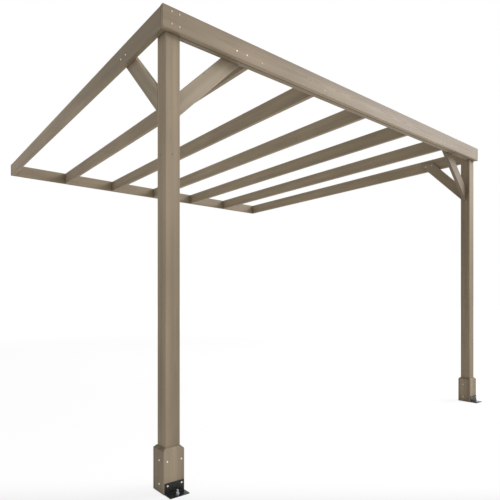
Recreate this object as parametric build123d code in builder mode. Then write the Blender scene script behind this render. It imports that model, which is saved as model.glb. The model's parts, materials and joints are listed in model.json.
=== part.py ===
"""Wall-mounted timber pergola: two booted posts, a doubled front beam, seven rafters and a wall ledger.

The frame has X along the wall, Y towards the wall and Z up. Its origin is the centre of the
ledger's back face, where the pergola meets the wall. All sizes are in millimetres.
"""
import os

from build123d import *

# Overall sizes of the roof frame and its height over the ground
overall_width = 3650
overall_depth = 3686
headroom = 2497

# Roof boards: the rim, the rafters and the ledger are sawn from the same section
board_thickness = 30
board_height = 125
inner_beam_thickness = 38
bay_count = 6
timber_ease = 4

# Square posts
post_width = 91

# Knee braces: boards at 45 degrees, with a plumb foot and a level head
brace_width = 98
brace_thickness = 30
brace_ease = 3
brace_head_lap = 78
left_front_brace_reach = 439
right_front_brace_reach = 420
side_brace_reach = 412

# Boots: four boards round the foot of each post, with a hipped top edge
boot_thickness = 17
boot_height = 244
boot_bevel = 14
boot_ease = 2

# Foot brackets: bent steel angles in front of the boots, each with one anchor hole
bracket_width = 118
bracket_leg = 60
bracket_foot = 63
bracket_steel = 4
bracket_bend_radius = 2
bracket_corner_radius = 3
anchor_hole_diameter = 12

# One overrun for everything that is cut to length by another shape
overrun = 200

# Places that the sizes lead to
half_width = overall_width / 2
front_y = -overall_depth
fascia_back_y = front_y + board_thickness
beam_back_y = fascia_back_y + inner_beam_thickness
ledger_front_y = -board_thickness
post_back_y = fascia_back_y + post_width
boards_top_z = board_height / 2
boards_bottom_z = -board_height / 2
ground_z = boards_bottom_z - headroom
post_outer_x = half_width - board_thickness
post_inner_x = post_outer_x - post_width
post_centre_x = post_outer_x - post_width / 2
post_centre_y = fascia_back_y + post_width / 2
boot_front_y = fascia_back_y - boot_thickness
rafter_pitch = (overall_width - board_thickness) / bay_count
sides = (("left", -1), ("right", 1))

os.makedirs("parts", exist_ok=True)


def write(piece, label):
    """Names a finished piece and writes it as its own file."""
    piece.part.label = label
    export_step(piece.part, f"parts/{label}.step")


def timber(label, low, high, grain):
    """A planed timber between two corners, with its long edges eased along the grain."""
    size = Vector(*high) - Vector(*low)
    with BuildPart() as piece:
        with Locations((Vector(*high) + Vector(*low)) / 2):
            Box(size.X, size.Y, size.Z)
        fillet(piece.edges().filter_by(grain), timber_ease)
    write(piece, label)


# The rim: the fascia runs the full width, and the ledger repeats it against the wall
timber(
    "front_fascia",
    (-half_width, front_y, boards_bottom_z),
    (half_width, fascia_back_y, boards_top_z),
    Axis.X,
)
timber(
    "wall_ledger",
    (-half_width, ledger_front_y, boards_bottom_z),
    (half_width, 0, boards_top_z),
    Axis.X,
)

# The inner beam doubles the fascia between the two posts
timber(
    "inner_beam",
    (-post_inner_x, fascia_back_y, boards_bottom_z),
    (post_inner_x, beam_back_y, boards_top_z),
    Axis.X,
)

# Seven rafters at one pitch: the outer two pass outside the posts and close the rim
for number in range(bay_count + 1):
    rafter_left_x = -half_width + number * rafter_pitch
    if number == 0:
        rafter_name = "left_rafter"
        rafter_front_y = fascia_back_y
    elif number == bay_count:
        rafter_name = "right_rafter"
        rafter_front_y = fascia_back_y
    else:
        rafter_name = f"rafter_{number}"
        rafter_front_y = beam_back_y
    timber(
        rafter_name,
        (rafter_left_x, rafter_front_y, boards_bottom_z),
        (rafter_left_x + board_thickness, ledger_front_y, boards_top_z),
        Axis.Y,
    )

# The posts stand in the corners of the rim and run up to the top of its boards
for side, sign in sides:
    timber(
        f"{side}_post",
        (sign * post_centre_x - post_width / 2, fascia_back_y, ground_z),
        (sign * post_centre_x + post_width / 2, post_back_y, boards_top_z),
        Axis.Z,
    )


def knee_brace(label, plane, reach, head_limit):
    """A brace on a plane whose origin is the post's face at the boards' undersides, X leading off the post.

    Its lower edge leaves the boards at the reach. The foot is cut plumb on the post,
    the head is cut level on the boards, and no part of it goes past the head limit.
    """
    slant = brace_width * 2**0.5
    far_x = head_limit + overrun
    with BuildPart() as piece:
        with BuildSketch(plane):
            with BuildLine():
                Polyline(
                    (-overrun, -overrun - reach),
                    (far_x, far_x - reach),
                    (far_x - slant, far_x - reach),
                    (-overrun - slant, -overrun - reach),
                    close=True,
                )
            make_face()
            with Locations((0, brace_head_lap)):
                Rectangle(
                    head_limit,
                    brace_head_lap + reach + overrun,
                    align=(Align.MIN, Align.MAX),
                    mode=Mode.INTERSECT,
                )
        extrude(amount=brace_thickness / 2, both=True)
        grain = Axis(plane.origin, plane.x_dir + plane.y_dir)
        fillet(piece.edges().filter_by(grain), brace_ease)
    write(piece, label)


# Front braces lie on the inner beam's back and stop at the first rafter in from the side
for (side, sign), front_brace_reach in zip(sides, (left_front_brace_reach, right_front_brace_reach)):
    knee_brace(
        f"{side}_front_brace",
        Plane(
            origin=(sign * post_inner_x, beam_back_y + brace_thickness / 2, boards_bottom_z),
            x_dir=(-sign, 0, 0),
            z_dir=(0, sign, 0),
        ),
        front_brace_reach,
        rafter_pitch - board_thickness - post_width,
    )

# Side braces lie on the inner faces of the outer rafters, flush with the posts' outer faces
for side, sign in sides:
    knee_brace(
        f"{side}_side_brace",
        Plane(
            origin=(sign * (post_outer_x - brace_thickness / 2), post_back_y, boards_bottom_z),
            x_dir=(0, 1, 0),
            z_dir=(1, 0, 0),
        ),
        side_brace_reach,
        ledger_front_y - post_back_y,
    )


# Each boot is four boards: the front and back ones cover the edges of the other two
def boot_board(label, centre_x, centre_y, width, depth, bevelled):
    """One boot board on the ground, bevelled along the top edges that face the given directions."""
    with BuildPart() as piece:
        with BuildSketch(Plane.XY.offset(ground_z)):
            with Locations((centre_x, centre_y)):
                Rectangle(width, depth)
        extrude(amount=boot_height)
        top_edges = piece.faces().sort_by(Axis.Z)[-1].edges()
        outer_edges = [top_edges.sort_by(Axis((0, 0, 0), outward))[-1] for outward in bevelled]
        chamfer(outer_edges, boot_bevel)
        fillet(piece.edges().filter_by(Axis.Z), boot_ease)
    write(piece, label)


boot_side = post_width + 2 * boot_thickness
boot_offset = (post_width + boot_thickness) / 2
for side, sign in sides:
    centre_x = sign * post_centre_x
    for face, inward in (("front", -1), ("back", 1)):
        boot_board(
            f"{side}_boot_{face}",
            centre_x,
            post_centre_y + inward * boot_offset,
            boot_side,
            boot_thickness,
            ((0, inward, 0), (-1, 0, 0), (1, 0, 0)),
        )
    for face, outward in (("outer", sign), ("inner", -sign)):
        boot_board(
            f"{side}_boot_{face}",
            centre_x + outward * boot_offset,
            post_centre_y,
            boot_thickness,
            post_width,
            ((outward, 0, 0),),
        )

# Foot brackets: one leg is screwed to the boot, the other is bolted to the ground
for side, sign in sides:
    with BuildPart() as bracket:
        with BuildSketch(Plane.YZ.offset(sign * post_centre_x)):
            with BuildLine():
                Polyline(
                    (boot_front_y, ground_z),
                    (boot_front_y, ground_z + bracket_leg),
                    (boot_front_y - bracket_steel, ground_z + bracket_leg),
                    (boot_front_y - bracket_steel, ground_z + bracket_steel),
                    (boot_front_y - bracket_foot, ground_z + bracket_steel),
                    (boot_front_y - bracket_foot, ground_z),
                    close=True,
                )
            make_face()
        extrude(amount=bracket_width / 2, both=True)
        cross_edges = bracket.edges().filter_by(Axis.X).group_by(Axis.Z)
        outer_bend = cross_edges[0].sort_by(Axis.Y)[-1]
        inner_bend = cross_edges[1].sort_by(Axis.Y)[-1]
        fillet(inner_bend, bracket_bend_radius)
        fillet(outer_bend, bracket_bend_radius + bracket_steel)
        leg_corners = bracket.edges().filter_by(Axis.Y).group_by(Axis.Z)[-1]
        foot_corners = bracket.edges().filter_by(Axis.Z).group_by(Axis.Y)[0]
        fillet(leg_corners + foot_corners, bracket_corner_radius)
        anchor_y = boot_front_y - (bracket_foot + bracket_steel) / 2
        with Locations((sign * post_centre_x, anchor_y, ground_z + bracket_steel)):
            Hole(anchor_hole_diameter / 2)
    write(bracket, f"{side}_foot_bracket")
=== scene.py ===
import json
import math
import random

import bpy
from mathutils import Matrix, Vector


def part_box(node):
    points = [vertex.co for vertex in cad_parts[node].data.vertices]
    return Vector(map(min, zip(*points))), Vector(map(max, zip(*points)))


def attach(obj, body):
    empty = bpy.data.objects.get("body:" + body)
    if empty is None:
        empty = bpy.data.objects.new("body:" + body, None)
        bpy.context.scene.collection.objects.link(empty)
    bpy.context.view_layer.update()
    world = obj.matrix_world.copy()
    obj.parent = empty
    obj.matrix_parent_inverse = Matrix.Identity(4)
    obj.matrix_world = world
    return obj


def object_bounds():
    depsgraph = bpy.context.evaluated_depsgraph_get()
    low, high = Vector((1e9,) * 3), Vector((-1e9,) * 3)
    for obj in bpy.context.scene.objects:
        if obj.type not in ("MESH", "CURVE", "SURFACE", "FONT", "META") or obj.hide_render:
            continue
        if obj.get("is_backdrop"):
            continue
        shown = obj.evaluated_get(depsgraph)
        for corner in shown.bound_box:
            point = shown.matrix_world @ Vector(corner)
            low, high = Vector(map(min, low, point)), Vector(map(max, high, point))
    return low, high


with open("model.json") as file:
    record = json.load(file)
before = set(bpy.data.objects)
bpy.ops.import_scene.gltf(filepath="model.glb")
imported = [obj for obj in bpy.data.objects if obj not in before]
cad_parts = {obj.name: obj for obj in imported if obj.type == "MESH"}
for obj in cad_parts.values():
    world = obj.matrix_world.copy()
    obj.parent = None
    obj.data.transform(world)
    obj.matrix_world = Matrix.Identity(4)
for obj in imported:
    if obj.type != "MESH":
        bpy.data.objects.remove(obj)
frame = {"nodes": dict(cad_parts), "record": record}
cad_low, cad_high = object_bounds()
bpy.ops.object.select_all(action="DESELECT")


# Wall ledger: the back rim board, a planed softwood plank with eased edges, screwed flat to the wall.
# Like every timber here it is sawn from a log, so its grain is cut out of growth rings round a pith,
# and it is soaked in a thin grey-brown stain that the ends drink up and the corners wear off.
class Shade:
    """A shader value: Python arithmetic on it adds the Math nodes."""

    def __init__(self, tree, socket):
        self.tree = tree
        self.socket = socket

    def put(self, kind, settings, sockets, out=0):
        """Adds any node: its settings first, then the values or links of its sockets."""
        node = self.tree.nodes.new(kind)
        for name, value in settings.items():
            if name == "stops":
                ramp = node.color_ramp.elements
                while len(ramp) < len(value):
                    ramp.new(1.0)
                for stop, (place, level) in zip(ramp, value):
                    stop.position = place
                    stop.color = (level, level, level, 1.0)
            else:
                setattr(node, name, value)
        for name, value in sockets.items():
            if isinstance(value, Shade):
                self.tree.links.new(value.socket, node.inputs[name])
            else:
                node.inputs[name].default_value = value
        return Shade(self.tree, node.outputs[out])

    def also(self, out):
        """Another output of the same node."""
        return Shade(self.tree, self.socket.node.outputs[out])

    def feed(self, shader, name):
        """Links this value to a socket of the surface's shader."""
        self.tree.links.new(self.socket, shader.inputs[name])

    def maths(self, operation, first, second=0.0):
        return self.put("ShaderNodeMath", {"operation": operation}, {0: first, 1: second})

    def __add__(self, other):
        return self.maths("ADD", self, other)

    def __radd__(self, other):
        return self.maths("ADD", other, self)

    def __sub__(self, other):
        return self.maths("SUBTRACT", self, other)

    def __rsub__(self, other):
        return self.maths("SUBTRACT", other, self)

    def __mul__(self, other):
        return self.maths("MULTIPLY", self, other)

    def __rmul__(self, other):
        return self.maths("MULTIPLY", other, self)

    def __truediv__(self, other):
        return self.maths("DIVIDE", self, other)

    def __pow__(self, other):
        return self.maths("POWER", self, other)

    def __abs__(self):
        return self.maths("ABSOLUTE", self)

    def between(self, low, high):
        """0 at low and under, 1 at high and over, smooth between them."""
        return self.put(
            "ShaderNodeMapRange",
            {"interpolation_type": "SMOOTHSTEP"},
            {"Value": self, "From Min": low, "From Max": high},
        )

    def blend(self, first, second):
        """The first colour where this is 0, the second where it is 1."""
        return self.put(
            "ShaderNodeMix",
            {"data_type": "RGBA"},
            {0: self, 6: first, 7: second},
            out=2,
        )

    def tint(self, colour):
        """A colour made lighter or darker by this value."""
        return self.put(
            "ShaderNodeVectorMath",
            {"operation": "SCALE"},
            {"Vector": colour, "Scale": self},
        )

    def toward(self, direction):
        """How far this vector reaches in a direction."""
        return self.put(
            "ShaderNodeVectorMath",
            {"operation": "DOT_PRODUCT"},
            {0: self, 1: direction},
            out="Value",
        )

    def relief(self, strength, depth):
        """The normal of a surface that has this value as its height."""
        return self.put(
            "ShaderNodeBump",
            {},
            {"Height": self, "Strength": strength, "Distance": depth},
            out="Normal",
        )


def new_finish(name):
    """A new material, its surface shader and the place on the object."""
    finish = bpy.data.materials.new(name)
    finish.use_nodes = True
    nodes = finish.node_tree.nodes
    place = Shade(finish.node_tree, nodes.new("ShaderNodeTexCoord").outputs["Object"])
    return finish, nodes["Principled BSDF"], place


def coat_with(piece, finish):
    """Gives a piece one finish all over."""
    piece.data.materials.clear()
    piece.data.materials.append(finish)


EARLY_WOOD = (0.317, 0.249, 0.168, 1.0)
LATE_WOOD = (0.194, 0.144, 0.091, 1.0)
KNOT_WOOD = (0.099, 0.066, 0.040, 1.0)
BLEACHED_WOOD = (0.265, 0.235, 0.190, 1.0)
BLEACH_RATE = 0.6

# The pith lies outside the middle of the board and drifts, and the rings swell round a knot
PITH_AWAY = (0.045, 0.095)
PITH_DRIFT = 0.06
RING_SPACING = 0.0048
RING_WAVER = 0.9
RING_FRAY = 0.12
RING_STOPS = ((0.0, 0.05), (0.45, 0.12), (0.84, 0.80), (0.93, 1.0), (1.0, 0.05))
KNOT_STRETCH = 0.8
KNOT_REACH = 5.0
KNOT_SWELL = 1.1
KNOT_RIM = (0.75, 1.15)
NOISE_FIELD = 40

# Which faces are sawn ends or narrow edges, and how far the corners are worn
END_FACING = (0.45, 0.65)
EDGE_FACING = (0.60, 0.90)
WORN_RIM = (0.0008, 0.0045)
WORN_FRAY = 0.004
PORE_LEVELS = (0.66, 0.74)

# How much lighter or darker each of these is; the seams, corners and joint rims get painted shade
EVEN = ((0.0, 1.0), (1.0, 1.0))
STREAK_LIGHT = 0.24
BAND_LIGHT = 0.80
FIBRE_LIGHT = 0.10
CLOUD_LIGHT = 0.36
WORN_LIGHT = 0.08
PORE_DARK = 0.14
KNOT_DARK = 0.45
SEAM_REACH = 0.008
SEAM_OPENNESS = (0.35, 0.95)
PAINTED_SEAM_SHADE = 0.22
CORNER_REACH = 0.110
CORNER_OPENNESS = (0.30, 1.0)
PAINTED_CORNER_SHADE = 0.29
JOINT_SHADE_RIM = (0.002, 0.0075)
JOINT_SHADE_LIGHT = 0.55

# How much of the late wood's colour shows
LATE_SHARE = 0.24
LATE_IN_RINGS = 0.22
LATE_IN_CLOUDS = 0.16
LATE_ON_ENDS = 0.35

# How the planed and stained surface feels
FIBRE_RAISED = 0.35
RINGS_SUNK = 0.25
PORES_SUNK = 0.5
KNOTS_SUNK = 0.3
STAIN_ROUGHNESS = 0.54
FIBRE_ROUGHNESS = 0.12
RING_ROUGHNESS = 0.06
END_ROUGHNESS = 0.10
STAIN_SHEEN = 0.38


def stained_timber(
    name, turn, middle, sizes, knots, seed, tone=1.0, figure=0.55, end_tone=0.85, edge_tone=1.0,
    uptake=EVEN, sapwood=0.0, damp_side=0, nook_shade=1.0,
):
    """Stains one timber: turn has the grain along its X, and sizes are along and across it.

    The figure is how strongly the bands show. The sawn ends drink the stain differently from the broad
    faces, and the narrow edges are set lighter or darker than them. The lengthwise light is how light
    it is along the length, on some boards partly a painted sheen.
    The sapwood edge is lighter, and a face that lies in a joint gets painted shade along its rim.
    The nook shade is how strong the painted shade is in the sheltered corners and seams.
    """
    draw = random.Random(seed)
    stain, surface, place = new_finish(f"stained_timber_{name}")
    board = place.put(
        "ShaderNodeMapping",
        {"vector_type": "TEXTURE"},
        {"Vector": place, "Location": middle, "Rotation": turn.to_euler()},
    )
    along = board.put("ShaderNodeSeparateXYZ", {}, {"Vector": board})
    across, up = along.also("Y"), along.also("Z")

    def noise(along_grain, across_grain, detail, roughness=0.5):
        """Noise with its own scale along the grain and across it, at a place of its own."""
        start = [draw.uniform(-NOISE_FIELD, NOISE_FIELD) for axis in range(3)]
        spot = board.put(
            "ShaderNodeMapping",
            {},
            {"Vector": board, "Location": start, "Scale": (along_grain, across_grain, across_grain)},
        )
        return board.put(
            "ShaderNodeTexNoise",
            {},
            {"Vector": spot, "Scale": 1.0, "Detail": detail, "Roughness": roughness},
        )

    pith_turn = draw.uniform(0, 2 * math.pi)
    pith_away = draw.uniform(*PITH_AWAY)
    drift = noise(along_grain=0.55, across_grain=2.0, detail=1.0)
    drift_sides = board.put("ShaderNodeSeparateColor", {}, {"Color": drift.also("Color")})
    drift_across = (drift_sides - 0.5) * PITH_DRIFT
    drift_up = (drift_sides.also("Green") - 0.5) * PITH_DRIFT
    from_pith = across - pith_away * math.cos(pith_turn) + drift_across
    over_pith = up - pith_away * math.sin(pith_turn) + drift_up
    ring = (from_pith * from_pith + over_pith * over_pith) ** 0.5

    knot_core = None
    for knot_along, knot_side, knot_size in knots:
        branch = pith_turn + math.pi + knot_side
        off_axis = over_pith * math.cos(branch) - from_pith * math.sin(branch)
        off_along = (along - knot_along) * KNOT_STRETCH
        near = (off_axis * off_axis + off_along * off_along) ** 0.5
        ring = ring + (1.0 - near.between(0.0, KNOT_REACH * knot_size)) * KNOT_SWELL * knot_size
        core = 1.0 - near.between(KNOT_RIM[0] * knot_size, KNOT_RIM[1] * knot_size)
        knot_core = core if knot_core is None else knot_core + core

    fibre = noise(along_grain=7.0, across_grain=330.0, detail=3.0, roughness=0.6)
    streak = noise(along_grain=0.8, across_grain=46.0, detail=2.0)
    band = noise(along_grain=0.5, across_grain=22.0, detail=1.0)
    cloud = noise(along_grain=2.4, across_grain=9.0, detail=2.0)
    ring_place = ring / RING_SPACING + (streak - 0.5) * RING_WAVER + (fibre - 0.5) * RING_FRAY
    year = ring_place.maths("FRACT", ring_place)
    late = year.put("ShaderNodeValToRGB", {"stops": RING_STOPS}, {"Fac": year})

    normal = place.put("ShaderNodeNewGeometry", {}, {}, out="Normal")
    lengthways = turn @ Vector((1.0, 0.0, 0.0))
    sideways = turn @ Vector((0.0, 1.0, 0.0) if sizes[1] > sizes[2] else (0.0, 0.0, 1.0))
    end_cut = abs(normal.toward(lengthways)).between(*END_FACING)
    edge_cut = abs(normal.toward(sideways)).between(*EDGE_FACING)
    edge_across = sizes[1] / 2 - abs(across)
    edge_up = sizes[2] / 2 - abs(up)
    to_edge = edge_across.maths("MAXIMUM", edge_across, edge_up) + (fibre - 0.5) * WORN_FRAY
    worn = (1.0 - to_edge.between(*WORN_RIM)) * (1.0 - end_cut)
    pores = noise(along_grain=16.0, across_grain=900.0, detail=1.0).between(*PORE_LEVELS)
    pores = pores * (1.0 - end_cut)

    # Painted shade: the colour darkens in tight seams and in sheltered corners that ambient occlusion
    # finds.
    close = place.put("ShaderNodeAmbientOcclusion", {"samples": 8}, {"Distance": SEAM_REACH}, out="AO")
    wide = place.put("ShaderNodeAmbientOcclusion", {"samples": 8}, {"Distance": CORNER_REACH}, out="AO")
    painted_seam_shade = PAINTED_SEAM_SHADE * nook_shade * (1.0 - close.between(*SEAM_OPENNESS))
    corner = PAINTED_CORNER_SHADE * nook_shade * (1.0 - wide.between(*CORNER_OPENNESS))

    # A ramp's levels end at 1, so the lengthwise light goes through it at half its height
    half_levels = [(at, level / 2) for at, level in uptake]
    lengthwise_level = along.put("ShaderNodeValToRGB", {"stops": half_levels}, {"Fac": along / sizes[0] + 0.5})
    light = 2.0 * tone * lengthwise_level.put("ShaderNodeRGBToBW", {}, {"Color": lengthwise_level})
    figured = figure * (STREAK_LIGHT * (streak - 0.5) + BAND_LIGHT * (band - 0.5))
    light = light * (1.0 + figured + FIBRE_LIGHT * (fibre - 0.5) + CLOUD_LIGHT * (cloud - 0.5))
    light = light * (1.0 - PORE_DARK * pores + WORN_LIGHT * worn)
    light = light * (1.0 - painted_seam_shade) * (1.0 - corner) * (1.0 + sapwood / sizes[2] * up)
    # Painted shade: a dark line along the rim of a face that lies in a joint, where the groove between
    # the boards is in shade.
    if damp_side:
        into = sizes[1] / 2 - damp_side * across
        light = light * (JOINT_SHADE_LIGHT + (1.0 - JOINT_SHADE_LIGHT) * into.between(*JOINT_SHADE_RIM))
    light = light * (1.0 - (1.0 - end_tone) * end_cut) * (1.0 - (1.0 - edge_tone) * edge_cut)

    grain = LATE_SHARE + LATE_IN_RINGS * late + LATE_IN_CLOUDS * (1.0 - cloud)
    grain = grain * (1.0 + LATE_ON_ENDS * end_cut)
    bleach = BLEACH_RATE * max(tone - 1.0, 0.0)
    early_wood = Vector(EARLY_WOOD).lerp(Vector(BLEACHED_WOOD), bleach)
    late_wood = Vector(LATE_WOOD).lerp(Vector(BLEACHED_WOOD), bleach)
    colour = grain.blend(early_wood, late_wood)
    height = FIBRE_RAISED * fibre - RINGS_SUNK * late - PORES_SUNK * pores
    if knot_core is not None:
        knot = knot_core.maths("MINIMUM", knot_core, 1.0)
        colour = (KNOT_DARK * knot).blend(colour, KNOT_WOOD)
        height = height - KNOTS_SUNK * knot
    rough = STAIN_ROUGHNESS + FIBRE_ROUGHNESS * fibre + RING_ROUGHNESS * late + END_ROUGHNESS * end_cut
    light.tint(colour).feed(surface, "Base Color")
    rough.feed(surface, "Roughness")
    height.relief(strength=0.35, depth=0.0006).feed(surface, "Normal")
    surface.inputs["Specular IOR Level"].default_value = STAIN_SHEEN
    coat_with(frame["nodes"][name], stain)


KNOT_SEED = 1000
KNOT_SPACE = (0.2, 0.8)
KNOT_SIDE = (-0.5, 0.5)
KNOT_SIZE = (0.003, 0.006)


def stain_board(name, turn, seed, knot_count, **stain):
    """Stains a straight board or post whose box is its own outline."""
    low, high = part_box(name)
    sizes = [abs(size) for size in turn.transposed() @ (high - low)]
    draw = random.Random(KNOT_SEED + seed)
    knots = []
    for number in range(knot_count):
        knot_along = sizes[0] * ((number + draw.uniform(*KNOT_SPACE)) / knot_count - 0.5)
        knots.append((knot_along, draw.uniform(*KNOT_SIDE), draw.uniform(*KNOT_SIZE)))
    stained_timber(name, turn, (low + high) / 2, sizes, knots, seed, **stain)


ALONG_X = Matrix.Identity(3)
stain_board("wall_ledger", ALONG_X, seed=1111, knot_count=2, tone=0.96)


# Posts: two square softwood posts that stand in the front corners of the rim, planed on four sides.
# They are the same stained timber, with the grain upright and a small tight knot in each.
UPRIGHT = Matrix.Rotation(math.radians(-90), 3, "Y")
POST_FIGURE = 1.0
# The left post is lighter towards its top; this is partly a painted sheen.
LEFT_POST_TONE_AND_SHEEN = ((0.0, 0.94), (0.2, 0.95), (0.55, 1.06), (1.0, 1.09))
stain_board(
    "left_post", UPRIGHT, seed=1021, knot_count=1,
    tone=1.05, figure=POST_FIGURE, uptake=LEFT_POST_TONE_AND_SHEEN, sapwood=0.17,
)
stain_board("right_post", UPRIGHT, seed=222, knot_count=1, tone=0.925, figure=POST_FIGURE)


# Front beam: the fascia runs across the fronts of the posts and shows its end grain at both corners,
# and the inner beam is a thicker board that doubles it between the posts. Both are stained alike.
# Along the fascia the colour is lighter in the left third and darker at the right end; this is partly
# painted sheen and shade.
FASCIA_TONE_AND_SHEEN = ((0.0, 1.01), (0.11, 1.11), (0.28, 1.10), (0.61, 1.04), (0.90, 0.92), (1.0, 0.92))
stain_board(
    "front_fascia", ALONG_X, seed=31, knot_count=2,
    end_tone=1.12, edge_tone=1.18, uptake=FASCIA_TONE_AND_SHEEN, sapwood=-0.16, damp_side=1,
)
stain_board("inner_beam", ALONG_X, seed=32, knot_count=2, tone=1.05, damp_side=-1)


# Rafters: seven boards on edge from the front beam to the ledger, butted and screwed at both ends.
# The outer two close the sides of the rim.
ALONG_Y = Matrix.Rotation(math.radians(90), 3, "Z")
RAFTER_EDGE_TONE = 1.10
RAFTER_UPTAKE = ((0.0, 1.0), (0.32, 1.01), (0.5, 1.10), (0.66, 1.11), (1.0, 1.03))
LEFT_RAFTER_UPTAKE = ((0.0, 0.91), (0.22, 1.04), (0.42, 1.26), (0.6, 1.36), (1.0, 1.34))
rafter_stains = {
    "left_rafter": {"seed": 881, "tone": 0.95, "uptake": LEFT_RAFTER_UPTAKE, "nook_shade": 0.0},
    "rafter_1": {"seed": 482, "tone": 1.10, "uptake": RAFTER_UPTAKE},
    "rafter_2": {"seed": 883, "tone": 1.11, "uptake": RAFTER_UPTAKE},
    "rafter_3": {"seed": 984, "tone": 1.14, "uptake": RAFTER_UPTAKE},
    "rafter_4": {"seed": 185, "tone": 1.06, "uptake": RAFTER_UPTAKE},
    "rafter_5": {"seed": 86, "tone": 1.07, "uptake": RAFTER_UPTAKE},
    "right_rafter": {"seed": 687, "tone": 1.02, "uptake": RAFTER_UPTAKE},
}
for rafter_name, rafter_stain in rafter_stains.items():
    stain_board(rafter_name, ALONG_Y, knot_count=2, edge_tone=RAFTER_EDGE_TONE, **rafter_stain)


# Knee braces: 98 mm boards at 45 degrees, with a plumb foot on the post and a level head on the beam
# or the side rafter, so the grain runs along the slope.
BRACE_WIDTH = 0.098
BRACE_THICKNESS = 0.030
BRACE_KNOT = (0.35, 0.1, 0.005)
brace_stains = {
    "left_front_brace": {"seed": 1151, "tone": 1.47},
    "left_side_brace": {"seed": 752, "tone": 1.31, "figure": 1.3, "nook_shade": 0.2},
    "right_front_brace": {"seed": 53, "tone": 0.78, "nook_shade": 0.2},
    "right_side_brace": {"seed": 854, "tone": 0.87},
}
brace_lines = {}
for side, inward in (("left", 1.0), ("right", -1.0)):
    for facing, away in (("front", Vector((inward, 0.0, 0.0))), ("side", Vector((0.0, 1.0, 0.0)))):
        brace_name = f"{side}_{facing}_brace"
        low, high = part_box(brace_name)
        span = high - low
        slope = (away + Vector((0.0, 0.0, 1.0))).normalized()
        square = (Vector((0.0, 0.0, 1.0)) - away).normalized()
        through = slope.cross(square)
        turn = Matrix((slope, square, through)).transposed()
        foot = (low + high) / 2 - Vector((away.x * span.x, away.y * span.y, 0.0)) / 2
        foot.z = low.z
        middle = foot + square * BRACE_WIDTH / 2
        brace_lines[brace_name] = (middle, away)
        sizes = (span.z * math.sqrt(2), BRACE_WIDTH, BRACE_THICKNESS)
        stained_timber(brace_name, turn, middle, sizes, [BRACE_KNOT], **brace_stains[brace_name])


# Boots: four short boards round the foot of each post, bevelled at the top to shed rain.
# The front and back boards cover the edges of the other two, and all have upright grain.
BOOT_FIGURE = 1.2
COVER_BOARD_TONES = {"end_tone": 0.94, "edge_tone": 0.85}
# The side boards' bevels are darker than the cover boards': partly darker end grain, partly painted
# shade.
SIDE_BOARD_TONES_AND_SHADE = {"end_tone": 0.80, "edge_tone": 1.0}
boot_stains = {
    "left_boot_front": (661, 1.27),
    "left_boot_back": (62, 1.0),
    "left_boot_outer": (1163, 0.99),
    "left_boot_inner": (64, 0.94),
    "right_boot_front": (665, 1.06),
    "right_boot_back": (66, 1.0),
    "right_boot_outer": (67, 0.94),
    "right_boot_inner": (568, 0.83),
}
for boot_name, (seed, tone) in boot_stains.items():
    rim_tones = SIDE_BOARD_TONES_AND_SHADE if boot_name.endswith(("outer", "inner")) else COVER_BOARD_TONES
    stain_board(boot_name, UPRIGHT, seed, knot_count=0, tone=tone, figure=BOOT_FIGURE, **rim_tones)


# Foot brackets: angles bent from 4 mm steel plate with a black powder coat, slightly pebbled.
# One leg is screwed to the boot's front board, the other is bolted to the ground.
POWDER_COAT = (0.014, 0.014, 0.015, 1.0)
POWDER_DUST = (0.043, 0.043, 0.042, 1.0)
PEBBLE_SCALE = 700.0
PEBBLE_LEVELS = (0.5, 0.8)
DUST_SCALE = 60.0
DUST_LEVELS = (0.45, 0.75)
DUST_SHARE = 0.7
COAT_ROUGHNESS = 0.16
DUST_ROUGHNESS = 0.14
COAT_SHEEN = 0.28
powder, powder_surface, spot = new_finish("black_powder_coat")
pebble = spot.put("ShaderNodeTexNoise", {}, {"Vector": spot, "Scale": PEBBLE_SCALE, "Detail": 2.0})
dust = spot.put("ShaderNodeTexNoise", {}, {"Vector": spot, "Scale": DUST_SCALE, "Detail": 4.0})
dusty = dust.between(*DUST_LEVELS) * DUST_SHARE + pebble.between(*PEBBLE_LEVELS) * (1.0 - DUST_SHARE)
dusty.blend(POWDER_COAT, POWDER_DUST).feed(powder_surface, "Base Color")
(COAT_ROUGHNESS + DUST_ROUGHNESS * dust).feed(powder_surface, "Roughness")
pebble.relief(strength=0.3, depth=0.0003).feed(powder_surface, "Normal")
powder_surface.inputs["Specular IOR Level"].default_value = COAT_SHEEN
for side in ("left", "right"):
    coat_with(frame["nodes"][f"{side}_foot_bracket"], powder)


# Fascia screws: zinc-plated pan heads with a cross recess, pulled a little into the soft wood.
# Four go into each post, singles into the inner beam and two into each front brace.
# All have the darker zinc, partly stain and partly painted shade, but for the two in the left brace.
HEAD_RADIUS = 0.0052
HEAD_HEIGHT = 0.0030
HEAD_SUNK = 0.0010
HEAD_ROUNDING = 0.7 * HEAD_HEIGHT
RECESS_LENGTH = 0.0048
RECESS_WIDTH = 0.0010
RECESS_DEPTH = 0.0013
NEARLY_LEVEL = 0.9


def is_top(face):
    """Whether a face is the upper end of an upright rod."""
    return face.normal.z > NEARLY_LEVEL


def is_end(face):
    """Whether a face is either end of an upright rod."""
    return abs(face.normal.z) > NEARLY_LEVEL


def pick_faces(piece, wanted):
    """Opens the piece in edit mode with only the wanted faces selected."""
    bpy.ops.object.mode_set(mode="EDIT")
    bpy.ops.mesh.select_mode(type="FACE")
    bpy.ops.mesh.select_all(action="DESELECT")
    bpy.ops.object.mode_set(mode="OBJECT")
    for face in piece.data.polygons:
        face.select = wanted(face)
    bpy.ops.object.mode_set(mode="EDIT")


def carve(piece, tool, operation):
    """Cuts a piece by a tool or keeps what the two share, and throws the tool away."""
    cut = piece.modifiers.new("cut", "BOOLEAN")
    cut.operation = operation
    cut.object = tool
    bpy.context.view_layer.objects.active = piece
    bpy.ops.object.modifier_apply(modifier="cut")
    bpy.data.objects.remove(tool)


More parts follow.
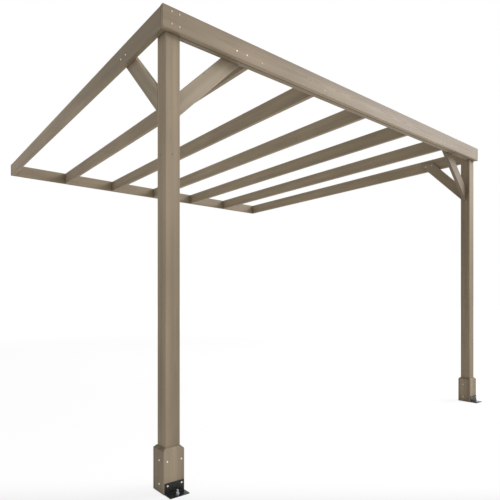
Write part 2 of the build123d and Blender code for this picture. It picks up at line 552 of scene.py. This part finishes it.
def turned_rod(radius, bottom, top, sides=32):
    """A plain upright rod on the Z axis between two levels."""
    bpy.ops.object.select_all(action="DESELECT")
    bpy.ops.mesh.primitive_cylinder_add(
        vertices=sides, radius=radius, depth=top - bottom, location=(0.0, 0.0, (top + bottom) / 2)
    )
    bpy.ops.object.transform_apply(location=True, rotation=True, scale=True)
    return bpy.context.object


def round_rims(piece, width, segments, wanted):
    """Bevels the rims of the wanted flat ends of a rod."""
    pick_faces(piece, wanted)
    bpy.ops.mesh.bevel(offset=width, segments=segments, affect="EDGES")
    bpy.ops.object.mode_set(mode="OBJECT")


screw_head = turned_rod(HEAD_RADIUS, -HEAD_SUNK, HEAD_HEIGHT - HEAD_SUNK, sides=24)
round_rims(screw_head, HEAD_ROUNDING, segments=4, wanted=is_top)
for recess_turn in (0.0, 90.0):
    bpy.ops.mesh.primitive_cube_add(
        size=1.0,
        location=(0.0, 0.0, HEAD_HEIGHT - HEAD_SUNK),
        rotation=(0.0, 0.0, math.radians(recess_turn)),
        scale=(RECESS_LENGTH, RECESS_WIDTH, 2 * RECESS_DEPTH),
    )
    carve(screw_head, bpy.context.object, "DIFFERENCE")

SPANGLE_SCALE = 420.0
SPANGLE_LEVELS = (0.45, 0.8)
SPANGLE_ROUGHNESS = 0.22


def zinc_plate(name, plated, tarnished, dullness):
    """A zinc plating whose crystals are duller in places."""
    zinc, surface, place = new_finish(name)
    surface.inputs["Metallic"].default_value = 1.0
    spangle = place.put(
        "ShaderNodeTexNoise", {}, {"Vector": place, "Scale": SPANGLE_SCALE, "Detail": 3.0}
    )
    spangle.between(*SPANGLE_LEVELS).blend(plated, tarnished).feed(surface, "Base Color")
    (dullness + SPANGLE_ROUGHNESS * spangle).feed(surface, "Roughness")
    spangle.relief(strength=0.2, depth=0.0002).feed(surface, "Normal")
    return zinc


bright_zinc = zinc_plate(
    "bright_zinc", plated=(0.88, 0.85, 0.80, 1.0), tarnished=(0.62, 0.60, 0.56, 1.0), dullness=0.58
)
# A darker copy of the zinc: partly stain on the heads, partly painted shade for heads that catch no
# glint.
stained_and_shaded_zinc = zinc_plate(
    "stained_and_shaded_zinc", plated=(0.62, 0.58, 0.51, 1.0), tarnished=(0.46, 0.42, 0.36, 1.0), dullness=0.60
)

SMOOTH_UNDER = math.radians(35)


def fit_copies(name, pattern, placings, finish):
    """Makes one piece of copies of a pattern, each set by its own matrix."""
    bpy.ops.object.select_all(action="DESELECT")
    for placing in placings:
        copy = bpy.data.objects.new(name, pattern.data.copy())
        bpy.context.scene.collection.objects.link(copy)
        copy.matrix_world = placing
        copy.select_set(True)
        bpy.context.view_layer.objects.active = copy
    bpy.context.view_layer.update()
    if len(placings) > 1:
        bpy.ops.object.join()
    bpy.ops.object.transform_apply(location=True, rotation=True, scale=True)
    bpy.ops.object.shade_smooth_by_angle(angle=SMOOTH_UNDER)
    piece = bpy.context.object
    piece.name = name
    coat_with(piece, finish)
    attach(piece, "root")


def drive_screws(name, outward, points, seed, finish=bright_zinc):
    """Sets a screw head on each point of one face, with its recess turned at random."""
    draw = random.Random(seed)
    facing = Vector(outward).to_track_quat("Z", "Y").to_matrix().to_4x4()
    placings = []
    for point in points:
        spin = Matrix.Rotation(draw.uniform(0.0, math.pi), 4, "Z")
        placings.append(Matrix.Translation(point) @ facing @ spin)
    fit_copies(name, screw_head, placings, finish)


FRONTWARD = (0.0, -1.0, 0.0)
POST_SCREW_SPREAD = 0.024
POST_SCREW_UNDER_TOP = 0.025
POST_SCREW_OVER_BOTTOM = 0.032
BRACE_SCREW_SPREAD = 0.0385
BRACE_SCREW_OVER_BOTTOM = 0.041
SINGLE_SCREW_OVER_BOTTOM = 0.031
SINGLE_SCREW_PLACES = (-1.134, -0.550, 0.550, 1.134)
fascia_low, fascia_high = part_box("front_fascia")
front_y = fascia_low.y
fascia_points = []
left_brace_points = []
for side, brace_points in (("left", left_brace_points), ("right", fascia_points)):
    post_low, post_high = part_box(f"{side}_post")
    post_x = (post_low.x + post_high.x) / 2
    for across in (-POST_SCREW_SPREAD, POST_SCREW_SPREAD):
        fascia_points.append((post_x + across, front_y, fascia_high.z - POST_SCREW_UNDER_TOP))
        fascia_points.append((post_x + across, front_y, fascia_low.z + POST_SCREW_OVER_BOTTOM))
    on_line, away = brace_lines[f"{side}_front_brace"]
    level = fascia_low.z + BRACE_SCREW_OVER_BOTTOM
    brace_x = on_line.x + away.x * (level - on_line.z)
    for across in (-BRACE_SCREW_SPREAD, BRACE_SCREW_SPREAD):
        brace_points.append((brace_x + across, front_y, level))
for single_x in SINGLE_SCREW_PLACES:
    fascia_points.append((single_x, front_y, fascia_low.z + SINGLE_SCREW_OVER_BOTTOM))
drive_screws("fascia_screws", FRONTWARD, fascia_points, seed=71, finish=stained_and_shaded_zinc)
drive_screws("left_front_brace_screws", FRONTWARD, left_brace_points, seed=76)


# Side brace screws: the same zinc screws, two through each outer rafter into the brace's head,
# and two back through the brace into the rafter.
SIDE_SCREW_SPREAD = 0.035
SIDE_SCREW_OVER_BOTTOM = 0.049
for side, outward in (("left", -1.0), ("right", 1.0)):
    rafter_low, rafter_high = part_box(f"{side}_rafter")
    brace_low, brace_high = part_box(f"{side}_side_brace")
    on_line, away = brace_lines[f"{side}_side_brace"]
    level = rafter_low.z + SIDE_SCREW_OVER_BOTTOM
    brace_y = on_line.y + away.y * (level - on_line.z)
    outer_x = rafter_low.x if outward < 0 else rafter_high.x
    inner_x = brace_high.x if outward < 0 else brace_low.x
    for face, face_x, way in (("rafter", outer_x, outward), ("side_brace", inner_x, -outward)):
        points = [(face_x, brace_y + shift, level) for shift in (-SIDE_SCREW_SPREAD, SIDE_SCREW_SPREAD)]
        drive_screws(f"{side}_{face}_screws", (way, 0.0, 0.0), points, seed=72)


# Boot screws: zinc screws again, a pair near the edges of each front and back board, high and low,
# and one column near the middle of the side boards. The low front pair goes through the bracket's leg.
# On the right boot, the front and side heads have the darker zinc, partly stain and partly painted
# shade.
BACKWARD = (0.0, 1.0, 0.0)
BOOT_SCREW_SPREAD = 0.043
BOOT_SCREW_LOW = 0.0455
BOOT_SCREW_HIGH = 0.1745
SIDE_COLUMN_SHIFTS = {"left": -0.008, "right": 0.012}
BRACKET_STEEL = 0.004
ground_z = cad_low.z
levels = (ground_z + BOOT_SCREW_LOW, ground_z + BOOT_SCREW_HIGH)
for side, outward, finish in (("left", -1.0, bright_zinc), ("right", 1.0, stained_and_shaded_zinc)):
    boot_low, boot_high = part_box(f"{side}_boot_front")
    back_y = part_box(f"{side}_boot_back")[1].y
    boot_x = (boot_low.x + boot_high.x) / 2
    columns = (boot_x - BOOT_SCREW_SPREAD, boot_x + BOOT_SCREW_SPREAD)
    front_points = [(x, boot_low.y, levels[1]) for x in columns]
    front_points += [(x, boot_low.y - BRACKET_STEEL, levels[0]) for x in columns]
    drive_screws(f"{side}_boot_front_screws", FRONTWARD, front_points, seed=73, finish=finish)
    back_points = [(x, back_y, z) for x in columns for z in levels]
    drive_screws(f"{side}_boot_back_screws", BACKWARD, back_points, seed=74)
    column_y = (boot_low.y + back_y) / 2 + SIDE_COLUMN_SHIFTS[side]
    for face, way in (("outer", outward), ("inner", -outward)):
        face_low, face_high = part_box(f"{side}_boot_{face}")
        face_x = face_low.x if way < 0 else face_high.x
        points = [(face_x, column_y, z) for z in levels]
        drive_screws(f"{side}_boot_{face}_screws", (way, 0.0, 0.0), points, seed=75, finish=finish)
bpy.data.objects.remove(screw_head)


# Anchor bolts: zinc-plated M10 studs that come up through the bracket holes, with a washer and a nut.
# The stud has a rolled thread and a chamfered tip, and the hexagon nut is chamfered at both ends.
STUD_RADIUS = 0.0050
STUD_TOP = 0.029
STUD_CHAMFER = 0.0010
THREAD_PITCH = 0.0015
THREAD_DEPTH = 0.0009
THREAD_FLAT = 0.15
THREAD_FLANK = 0.35
THREAD_STEPS = 20
SPARE_TURNS = 2
WASHER_RADIUS = 0.010
WASHER_THICKNESS = 0.0020
WASHER_ROUNDING = 0.2 * WASHER_THICKNESS
NUT_ACROSS_FLATS = 0.016
NUT_HEIGHT = 0.0084
NUT_CHAMFER = 0.0012
BORE_GAP = 0.0002
WELD_REACH = 0.00001
CUT_REACH = 0.000001

# One turn of the thread's outline is drawn from a point, screwed up the axis and cut off at both ends
bpy.ops.object.select_all(action="DESELECT")
bpy.ops.mesh.primitive_plane_add(
    size=THREAD_PITCH, location=(STUD_RADIUS - THREAD_DEPTH, 0.0, -SPARE_TURNS * THREAD_PITCH)
)
stud = bpy.context.object
bpy.ops.object.transform_apply(location=True, rotation=True, scale=True)
bpy.ops.object.mode_set(mode="EDIT")
bpy.ops.mesh.select_mode(type="VERT")
bpy.ops.mesh.select_all(action="SELECT")
bpy.ops.mesh.merge(type="CENTER")
for outward, share in (
    (0.0, THREAD_FLAT), (THREAD_DEPTH, THREAD_FLANK), (0.0, THREAD_FLAT), (-THREAD_DEPTH, THREAD_FLANK),
):
    bpy.ops.mesh.extrude_region_move(
        TRANSFORM_OT_translate={"value": (outward, 0.0, share * THREAD_PITCH)}
    )
bpy.ops.object.mode_set(mode="OBJECT")
thread = stud.modifiers.new("thread", "SCREW")
thread.screw_offset = THREAD_PITCH
thread.iterations = math.ceil(STUD_TOP / THREAD_PITCH) + 2 * SPARE_TURNS
thread.steps = THREAD_STEPS
bpy.ops.object.modifier_apply(modifier="thread")
bpy.ops.object.mode_set(mode="EDIT")
bpy.ops.mesh.select_all(action="SELECT")
bpy.ops.mesh.remove_doubles(threshold=WELD_REACH)
for level, outward in ((0.0, -1.0), (STUD_TOP, 1.0)):
    bpy.ops.mesh.select_all(action="SELECT")
    bpy.ops.mesh.bisect(
        plane_co=(0.0, 0.0, level),
        plane_no=(0.0, 0.0, outward),
        use_fill=True,
        clear_outer=True,
        threshold=CUT_REACH,
    )
bpy.ops.mesh.select_all(action="SELECT")
bpy.ops.mesh.normals_make_consistent(inside=False)
bpy.ops.object.mode_set(mode="OBJECT")
bore_radius = STUD_RADIUS + BORE_GAP
tip = turned_rod(bore_radius, -STUD_TOP, STUD_TOP)
round_rims(tip, STUD_CHAMFER, segments=1, wanted=is_top)
carve(stud, tip, "INTERSECT")

washer_bottom = BRACKET_STEEL
nut_bottom = washer_bottom + WASHER_THICKNESS
nut_top = nut_bottom + NUT_HEIGHT
nut_radius = NUT_ACROSS_FLATS / math.sqrt(3)
washer = turned_rod(WASHER_RADIUS, washer_bottom, nut_bottom)
round_rims(washer, WASHER_ROUNDING, segments=2, wanted=is_end)
carve(washer, turned_rod(bore_radius, 0.0, STUD_TOP), "DIFFERENCE")
nut = turned_rod(nut_radius, nut_bottom, nut_top, sides=6)
blank = turned_rod(nut_radius, nut_bottom, nut_top, sides=48)
round_rims(blank, NUT_CHAMFER, segments=1, wanted=is_end)
carve(nut, blank, "INTERSECT")
carve(nut, turned_rod(bore_radius, 0.0, STUD_TOP), "DIFFERENCE")
bpy.ops.object.select_all(action="DESELECT")
for piece in (washer, nut, stud):
    piece.select_set(True)
bpy.context.view_layer.objects.active = stud
bpy.ops.object.join()
dull_zinc = zinc_plate(
    "dull_zinc", plated=(0.62, 0.62, 0.62, 1.0), tarnished=(0.40, 0.40, 0.41, 1.0), dullness=0.36
)
for mount in frame["record"]["mounts"]:
    if mount["name"].endswith("anchor_hole"):
        side = mount["name"].split("_")[0]
        hole = Vector(mount["pos_m"])
        hole.z = ground_z
        fit_copies(f"{side}_anchor_bolt", stud, [Matrix.Translation(hole)], dull_zinc)
bpy.data.objects.remove(stud)


# Studio: the camera stands level at the left of the front beam, its frame lifted to take in the roof.
# A plain pale floor runs out to white, with a faint grey in front of the near foot. The sky is white,
# and one large soft lamp stands high on the right.
LOOK = Vector((0.6307, 0.7760, 0.0))
CAMERA_LEFT = 1.1488
CAMERA_AHEAD = 2.1446
CAMERA_HEIGHT = 1.0410
camera_data = bpy.data.cameras.new("camera")
camera_data.lens = 32.45
camera_data.sensor_width = 36.0
camera_data.shift_y = 0.1014
camera = bpy.data.objects.new("camera", camera_data)
camera.location = (cad_low.x - CAMERA_LEFT, front_y - CAMERA_AHEAD, ground_z + CAMERA_HEIGHT)
camera.rotation_euler = (math.radians(90), 0.0, -math.atan2(LOOK.x, LOOK.y))
bpy.context.scene.collection.objects.link(camera)
bpy.context.scene.camera = camera


def seen_ray(tree):
    """1 for the rays that look, from the camera or off a glossy face, and 0 for those that light."""
    ray = Shade(tree, tree.nodes.new("ShaderNodeLightPath").outputs["Is Camera Ray"])
    seen = ray.maths("MAXIMUM", ray, ray.also("Is Glossy Ray"))
    return ray.maths("MAXIMUM", seen, ray.also("Is Transmission Ray"))


FLOOR_SIZE = 160.0
FLOOR_PAINT = (0.85, 0.85, 0.85, 1.0)
FLOOR_SEEN = (0.14, 0.14, 0.14, 1.0)
FLOOR_GLOW = 0.882
FAR_GLOW = 0.12
FAR_REACH = (5.0, 15.0)
GREY_START = 0.318
GREY_RATE = 1.55
GREY_CURVE = 3.0
GREY_REACH = 0.40
GREY_END = (0.42, 1.6)
GREY_MIDDLE = 0.39
GREY_SIDES = (1.3, 3.2)
bpy.ops.object.select_all(action="DESELECT")
bpy.ops.mesh.primitive_plane_add(size=FLOOR_SIZE, location=(0.0, 0.0, ground_z))
bpy.ops.object.transform_apply(location=True, rotation=True, scale=True)
floor = bpy.context.object
floor.name = "floor"
floor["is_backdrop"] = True
floor_paint, floor_surface, floor_place = new_finish("floor_paint")
floor_surface.inputs["Roughness"].default_value = 0.9
floor_surface.inputs["Specular IOR Level"].default_value = 0.0
floor_surface.inputs["Emission Strength"].default_value = 1.0
bracket_low, bracket_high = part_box("left_foot_bracket")
near_foot = (bracket_low + bracket_high) / 2
strip_way = Vector((LOOK.y, -LOOK.x, 0.0))
behind = floor_place.toward(LOOK) - LOOK.dot(near_foot)
beside = abs(floor_place.toward(strip_way) - strip_way.dot(near_foot) - GREY_MIDDLE)
into = GREY_START - behind
grey = into.maths("MINIMUM", into.maths("MAXIMUM", into, 0.0), GREY_REACH) ** GREY_CURVE
grey = grey * (1.0 - into.between(*GREY_END)) * (1.0 - beside.between(*GREY_SIDES))
apart = floor_place.put("ShaderNodeVectorMath", {"operation": "LENGTH"}, {0: floor_place}, out="Value")
glow = FLOOR_GLOW - GREY_RATE * grey + FAR_GLOW * apart.between(*FAR_REACH)
floor_seen = seen_ray(floor_paint.node_tree)
floor_seen.blend(FLOOR_PAINT, FLOOR_SEEN).feed(floor_surface, "Base Color")
(floor_seen * glow).feed(floor_surface, "Emission Color")
coat_with(floor, floor_paint)

LAMP_PLACE = Vector((7.5, -7.5, 4.5))
LAMP_AIM = Vector((0.3, -2.4, -0.9))
lamp_data = bpy.data.lights.new("softbox", "AREA")
lamp_data.shape = "RECTANGLE"
lamp_data.size = 6.0
lamp_data.size_y = 3.5
lamp_data.energy = 865.0
lamp_data.color = (0.985, 1.0, 1.06)
lamp = bpy.data.objects.new("softbox", lamp_data)
lamp.location = LAMP_PLACE
lamp.rotation_euler = (LAMP_AIM - LAMP_PLACE).to_track_quat("-Z", "Y").to_euler()
bpy.context.scene.collection.objects.link(lamp)

SKY_LIGHT = (0.54, 0.54, 0.5238, 1.0)
SKY_SEEN = (1.0, 1.0, 1.0, 1.0)
sky = bpy.data.worlds.new("sky")
sky.use_nodes = True
sky_seen = seen_ray(sky.node_tree)
sky_seen.blend(SKY_LIGHT, SKY_SEEN).feed(sky.node_tree.nodes["Background"], "Color")
bpy.context.scene.world = sky

bpy.context.scene.view_settings.view_transform = "Standard"

low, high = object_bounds()
